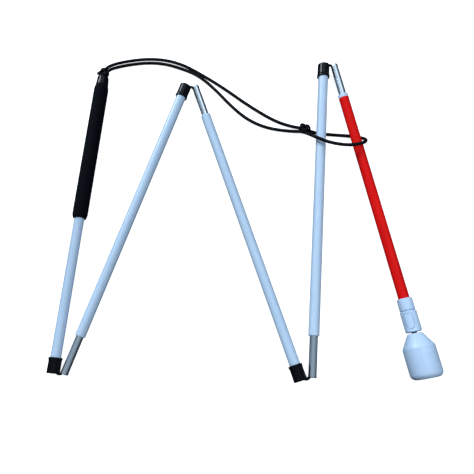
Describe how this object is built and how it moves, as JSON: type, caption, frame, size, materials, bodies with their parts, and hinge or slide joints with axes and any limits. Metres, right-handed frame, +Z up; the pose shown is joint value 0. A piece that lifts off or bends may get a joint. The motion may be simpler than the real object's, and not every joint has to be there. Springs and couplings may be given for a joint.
{
  "type": "folding white cane",
  "caption": "Folding mobility cane in an open zigzag: black grip with wrist cord, white and red tube sections joined by metal ferrules, and a white rolling tip.",
  "frame": {"origin": "centre of the bottom of the bounding box of the half-folded cane as it lies on a table, wrist cord left out", "axes": "+Z up from the table; +X across the zigzag, from the handle section to the tip section; +Y along the sections, towards the handle's capped end"},
  "size_m": [0.3226, 0.3151, 0.0257],
  "materials": {
    "tube_metal": "satin",
    "white_sleeve": "semi-gloss reflective tape",
    "polished_metal": "polished",
    "black_plastic": "gloss",
    "elastic": "braided cover over rubber",
    "wrist_elastic": "braided cover over rubber",
    "grip_rubber": "matte, fine grain",
    "steel": "brushed",
    "red_sleeve": "semi-gloss reflective tape",
    "tip_plastic": "satin",
    "roller_nylon": "satin"
  },
  "bodies": {
    "section_1": {"handle_tube": "tube_metal", "handle_sleeve": "white_sleeve", "grip": "grip_rubber", "grip_cap": "black_plastic", "handle_collar": "black_plastic", "cord_washer": "steel", "stopper_knot": "elastic", "handle_cord": "elastic", "wrist_cord": "wrist_elastic", "handle_knot": "wrist_elastic", "loop_knot": "wrist_elastic"},
    "link_1": {"fold_cord_1": "elastic"},
    "section_2": {"tube_2": "tube_metal", "sleeve_2": "white_sleeve", "ferrule_2": "polished_metal", "collar_2": "black_plastic", "cord_2": "elastic"},
    "link_2": {"fold_cord_2": "elastic"},
    "section_3": {"tube_3": "tube_metal", "sleeve_3": "white_sleeve", "ferrule_3": "polished_metal", "collar_3": "black_plastic", "cord_3": "elastic"},
    "link_3": {"fold_cord_3": "elastic"},
    "section_4": {"tube_4": "tube_metal", "sleeve_4": "white_sleeve", "ferrule_4": "polished_metal", "collar_4": "black_plastic", "cord_4": "elastic"},
    "link_4": {"fold_cord_4": "elastic"},
    "section_5": {"tube_5": "tube_metal", "white_band": "white_sleeve", "red_sleeve": "red_sleeve", "ferrule_5": "polished_metal", "cord_5": "elastic", "cord_anchor": "steel", "tip_adapter": "tip_plastic"},
    "tip": {"tip_holder": "tip_plastic", "tongue_spring": "steel", "spindle": "steel", "spindle_clip": "steel", "spacer_bush": "black_plastic", "bearing_inner_ring": "steel"},
    "tongue": {"release_tongue": "tip_plastic"},
    "roller": {"roller_shell": "roller_nylon", "bearing_outer_ring": "steel", "bearing_balls": "steel"}
  },
  "joints": [
    {"name": "seat_1", "type": "slide", "parent": "section_1", "child": "link_1", "axis": [0.0593, 0.9982, 0], "range_m": [0, 0.0357], "deforming": ["fold_cord_1"]},
    {"name": "fold_1", "type": "hinge", "parent": "link_1", "child": "section_2", "pos_m": [-0.15106, -0.14716, 0.00694], "axis": [-0.0125, 0.0007, -0.9999], "range_deg": [-13.56, 165.14], "deforming": ["fold_cord_1", "wrist_cord", "loop_knot", "handle_knot"]},
    {"name": "seat_2", "type": "slide", "parent": "section_2", "child": "link_2", "axis": [-0.3133, -0.9496, 0.0032], "range_m": [0, 0.0357], "deforming": ["fold_cord_2"]},
    {"name": "fold_2", "type": "hinge", "parent": "link_2", "child": "section_3", "pos_m": [-0.0504, 0.12826, 0.00593], "axis": [0.0047, 0.0018, 1], "range_deg": [-37.27, 142.23], "deforming": ["fold_cord_2"]},
    {"name": "seat_3", "type": "slide", "parent": "section_3", "child": "link_3", "axis": [-0.334, 0.9426, -0.0002], "range_m": [0, 0.0357], "deforming": ["fold_cord_3"]},
    {"name": "fold_3", "type": "hinge", "parent": "link_3", "child": "section_4", "pos_m": [0.05626, -0.1449, 0.00602], "axis": [0.0142, 0.0049, -0.9999], "range_deg": [-22.42, 157.08], "deforming": ["fold_cord_3"]},
    {"name": "seat_4", "type": "slide", "parent": "section_4", "child": "link_4", "axis": [-0.0595, -0.9982, -0.0057], "range_m": [0, 0.0357], "deforming": ["fold_cord_4"]},
    {"name": "fold_4", "type": "hinge", "parent": "link_4", "child": "section_5", "pos_m": [0.08297, 0.14723, 0.00812], "axis": [-0.0784, -0.001, 0.9969], "range_deg": [-13.74, 164.46], "deforming": ["fold_cord_4"]},
    {"name": "tip_pull", "type": "slide", "parent": "section_5", "child": "tip", "axis": [0.2093, -0.9777, 0.0154], "range_m": [0, 0.012]},
    {"name": "tongue_press", "type": "slide", "parent": "tip", "child": "tongue", "axis": [0.4316, 0.0782, -0.8987], "range_m": [0, 0.0006], "stiffness_N_per_m": 800, "springref_m": -0.0005, "deforming": ["tongue_spring"]},
    {"name": "roller_spin", "type": "hinge", "parent": "tip", "child": "roller", "pos_m": [0.14515, -0.12118, 0.01273], "axis": [0.2093, -0.9777, 0.0154], "continuous": true}
  ]
}
